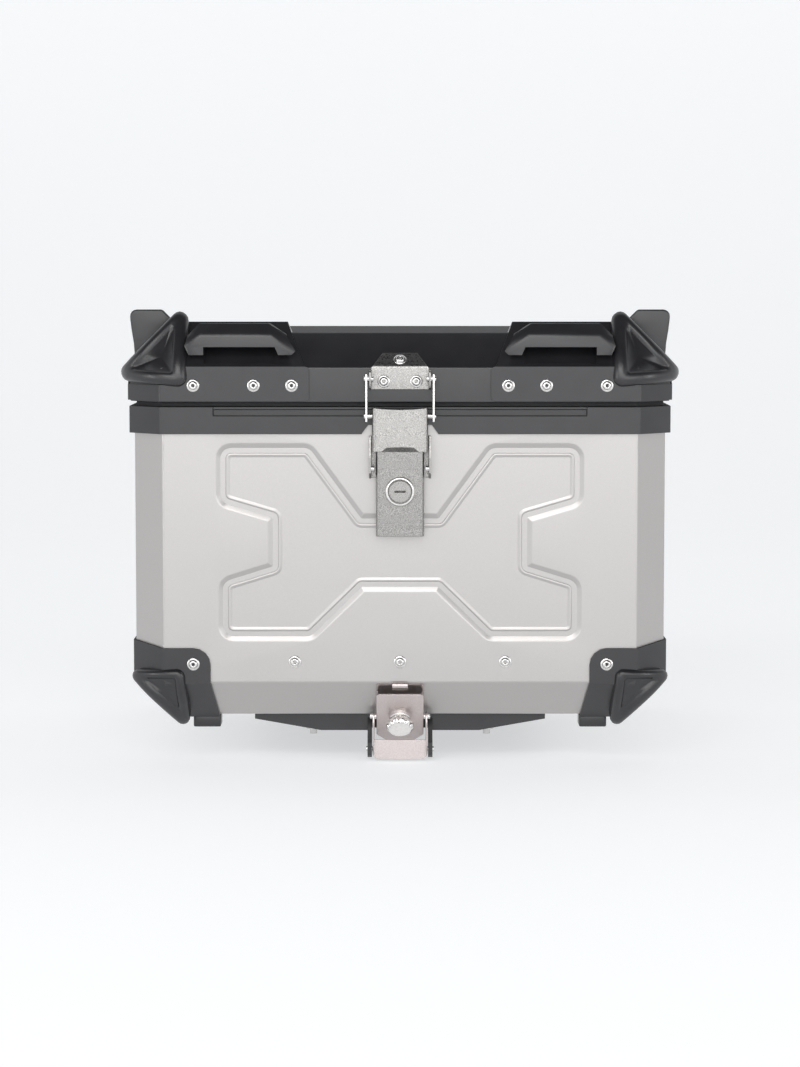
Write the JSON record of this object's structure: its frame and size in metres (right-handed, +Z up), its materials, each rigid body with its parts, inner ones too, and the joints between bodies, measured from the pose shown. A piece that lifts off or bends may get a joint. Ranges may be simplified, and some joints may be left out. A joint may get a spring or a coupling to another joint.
{
  "type": "motorcycle top case",
  "caption": "Quick-release sheet-aluminium motorcycle top case with a hinged plastic lid, corner guards, a key-locked draw latch and a rack mounting plate with a swinging catch.",
  "frame": {"origin": "centre of the mounting plate's underside, where it meets the rack", "axes": "+X to the right along the case's longest side, -Y to the latch side, +Z up"},
  "size_m": [0.424, 0.3808, 0.344],
  "materials": {
    "body_sheet": "satin, lightly sparkled",
    "black_moulding": "fine satin grain",
    "seal_rubber": "matte",
    "zinc_sheet": "speckled zinc plate",
    "nickel_sheet": "satin nickel",
    "bright_steel": "bright",
    "screw_steel": "bright zinc",
    "black_steel": "black coated steel",
    "mat_foam": "soft matte"
  },
  "bodies": {
    "mount": {"mounting_plate": "black_moulding", "rack_bolts": "screw_steel", "rack_washers": "screw_steel", "rack_nuts": "screw_steel", "catch_pins": "screw_steel"},
    "catch": {"base_catch": "nickel_sheet", "release_pins": "screw_steel"},
    "release": {"release_plate": "nickel_sheet", "knob_ring": "bright_steel"},
    "knob": {"release_knob": "nickel_sheet", "release_cam": "screw_steel"},
    "case": {"body_wall": "body_sheet", "floor_pan": "body_sheet", "front_brace": "body_sheet", "body_screws": "screw_steel", "body_nuts": "screw_steel", "floor_lugs": "black_moulding", "floor_mat": "mat_foam", "upper_rim": "black_moulding", "body_guard_front_right": "black_moulding", "body_guard_front_left": "black_moulding", "body_guard_rear_right": "black_moulding", "body_guard_rear_left": "black_moulding", "body_guard_screws": "screw_steel", "release_back_plate": "nickel_sheet", "latch_base": "zinc_sheet", "hook_pins": "screw_steel", "rim_hinge_leaves": "black_steel", "hinge_pins": "screw_steel"},
    "lid": {"lid_shell": "black_moulding", "lid_guard_front_right": "black_moulding", "lid_guard_front_left": "black_moulding", "lid_guard_rear_right": "black_moulding", "lid_guard_rear_left": "black_moulding", "lid_guard_screws": "screw_steel", "lid_seal": "seal_rubber", "keeper_bracket": "zinc_sheet", "keeper_screws": "screw_steel", "keeper_pins": "screw_steel", "lid_hinge_leaves": "black_steel"},
    "bail": {"bail_link_right": "bright_steel", "bail_link_left": "bright_steel"},
    "lever": {"latch_cover": "zinc_sheet", "lock_plate": "zinc_sheet", "lock_bezel": "bright_steel", "lever_pins": "screw_steel"},
    "key": {"key_plug": "bright_steel", "lock_cam": "screw_steel"}
  },
  "joints": [
    {"name": "case_lift", "type": "slide", "parent": "mount", "child": "case", "axis": [0, 0, 1], "range_m": [0, 0.06]},
    {"name": "catch_swing", "type": "hinge", "parent": "mount", "child": "catch", "pos_m": [0, -0.142, -0.0135], "axis": [1, 0, 0], "range_deg": [0, 60]},
    {"name": "release_swing", "type": "hinge", "parent": "catch", "child": "release", "pos_m": [0, -0.15143, 0.01315], "axis": [1, 0, 0], "range_deg": [0, 35]},
    {"name": "knob_turn", "type": "hinge", "parent": "release", "child": "knob", "pos_m": [0, -0.14945, 0.01895], "axis": [0, -0.7071, -0.7071], "range_deg": [0, 90]},
    {"name": "lid_swing", "type": "hinge", "parent": "case", "child": "lid", "pos_m": [0, 0.1815, 0.2532], "axis": [-1, 0, 0], "range_deg": [0, 95]},
    {"name": "bail_swing", "type": "hinge", "parent": "lid", "child": "bail", "pos_m": [0, -0.184, 0.273], "axis": [-1, 0, 0], "range_deg": [0, 100]},
    {"name": "lever_swing", "type": "hinge", "parent": "bail", "child": "lever", "pos_m": [0, -0.184, 0.245], "axis": [-1, 0, 0], "range_deg": [0, 75]},
    {"name": "key_turn", "type": "hinge", "parent": "lever", "child": "key", "pos_m": [0, -0.1879, 0.1887], "axis": [0, -1, 0], "range_deg": [0, 90]}
  ]
}
